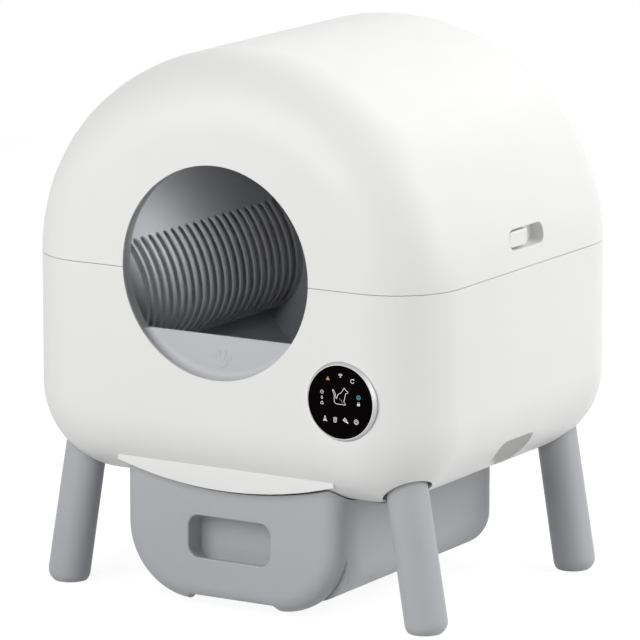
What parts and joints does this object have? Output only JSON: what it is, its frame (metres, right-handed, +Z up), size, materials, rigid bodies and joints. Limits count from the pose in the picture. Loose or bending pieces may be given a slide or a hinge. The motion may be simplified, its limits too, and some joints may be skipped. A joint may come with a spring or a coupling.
{
  "type": "self-cleaning litter box",
  "caption": "Arch-shaped self-cleaning litter box on splayed legs, with a lift-off cover, a geared turning drum with a sieve, a round display and a waste drawer underneath.",
  "frame": {"origin": "on the floor, under the middle of the outside box", "axes": "+Z up, the entry faces -Y, +X to the right seen from the front"},
  "size_m": [0.5, 0.4536, 0.5939],
  "materials": {
    "white_shell": "satin white moulded shell",
    "white_trim": "satin white moulded trim",
    "grey_plastic": "fine-textured cool grey",
    "pale_grey": "fine-textured pale grey",
    "drum_grey": "smooth cool grey",
    "dark_plastic": "black structural plastic",
    "gear_white": "natural acetal",
    "black_glass": "gloss black window",
    "silver_ring": "satin silver",
    "rubber": "matt black",
    "foam": "closed-cell foam",
    "steel": "zinc-plated",
    "bronze": "sintered bronze",
    "board": "green circuit board",
    "motor": "plated steel can",
    "cable": "black sleeve"
  },
  "bodies": {
    "base": {"lower_housing": "white_shell", "leg_front_left": "grey_plastic", "leg_front_right": "grey_plastic", "leg_rear_left": "grey_plastic", "leg_rear_right": "grey_plastic", "foot_pads": "rubber", "leg_sockets": "dark_plastic", "leg_studs": "steel", "leg_nuts": "steel", "load_cells": "steel", "rear_bulkhead": "dark_plastic", "bulkhead_screws": "steel", "hub_bearing": "bronze", "gearbox": "motor", "gearbox_screws": "steel", "motor_can": "motor", "roller_yoke_left": "dark_plastic", "roller_yoke_right": "dark_plastic", "roller_axles": "steel", "yoke_screws": "steel", "chute_frame": "drum_grey", "chute_seal": "foam", "chute_screws": "steel", "drawer_rail_left": "dark_plastic", "drawer_rail_right": "dark_plastic", "rail_screws": "steel", "display_ring": "silver_ring", "display_glass": "black_glass", "display_board": "board", "control_board": "board", "board_parts": "dark_plastic", "board_screws": "steel", "position_sensor": "dark_plastic", "power_inlet": "dark_plastic", "harness": "cable", "harness_clips": "dark_plastic"},
    "cover": {"upper_cover": "white_shell"},
    "latch_left": {"latch_thumb_left": "white_trim", "latch_hook_left": "dark_plastic"},
    "latch_right": {"latch_thumb_right": "white_trim", "latch_hook_right": "dark_plastic"},
    "drum": {"drum_front": "pale_grey", "drum_shell": "drum_grey", "drum_back": "drum_grey", "sieve": "drum_grey", "ring_gear": "gear_white", "ring_screws": "steel", "hub_shaft": "steel", "hub_clip": "steel", "drum_magnets": "steel"},
    "pinion": {"drive_pinion": "gear_white", "drive_shaft": "steel"},
    "roller_left": {"roller_left": "gear_white"},
    "roller_right": {"roller_right": "gear_white"},
    "drawer": {"drawer_bin": "grey_plastic", "drawer_front": "grey_plastic", "drawer_screws": "steel", "bag_frame": "pale_grey"}
  },
  "joints": [
    {"name": "drum_spin", "type": "hinge", "parent": "base", "child": "drum", "pos_m": [0, 0, 0.3672], "axis": [0, 1, 0], "continuous": true},
    {"name": "pinion_spin", "type": "hinge", "parent": "base", "child": "pinion", "pos_m": [0.18042, 0.14775, 0.24087], "axis": [0, 1, 0], "continuous": true},
    {"name": "roller_left_spin", "type": "hinge", "parent": "base", "child": "roller_left", "pos_m": [-0.11672, -0.14445, 0.18747], "axis": [0, 1, 0], "continuous": true},
    {"name": "roller_right_spin", "type": "hinge", "parent": "base", "child": "roller_right", "pos_m": [0.11672, -0.14445, 0.18747], "axis": [0, 1, 0], "continuous": true},
    {"name": "cover_lift", "type": "slide", "parent": "base", "child": "cover", "axis": [0, 0, 1], "range_m": [0, 0.3]},
    {"name": "latch_left_slide", "type": "slide", "parent": "cover", "child": "latch_left", "axis": [0, 1, 0], "range_m": [0, 0.024]},
    {"name": "latch_right_slide", "type": "slide", "parent": "cover", "child": "latch_right", "axis": [0, 1, 0], "range_m": [0, 0.024]},
    {"name": "drawer_slide", "type": "slide", "parent": "base", "child": "drawer", "axis": [0, -1, 0], "range_m": [0, 0.29]}
  ],
  "couplings": [
    {"joint": "pinion_spin", "follows": "drum_spin", "ratio": -6.8571},
    {"joint": "roller_left_spin", "follows": "drum_spin", "ratio": -14.286},
    {"joint": "roller_right_spin", "follows": "drum_spin", "ratio": -14.286}
  ]
}
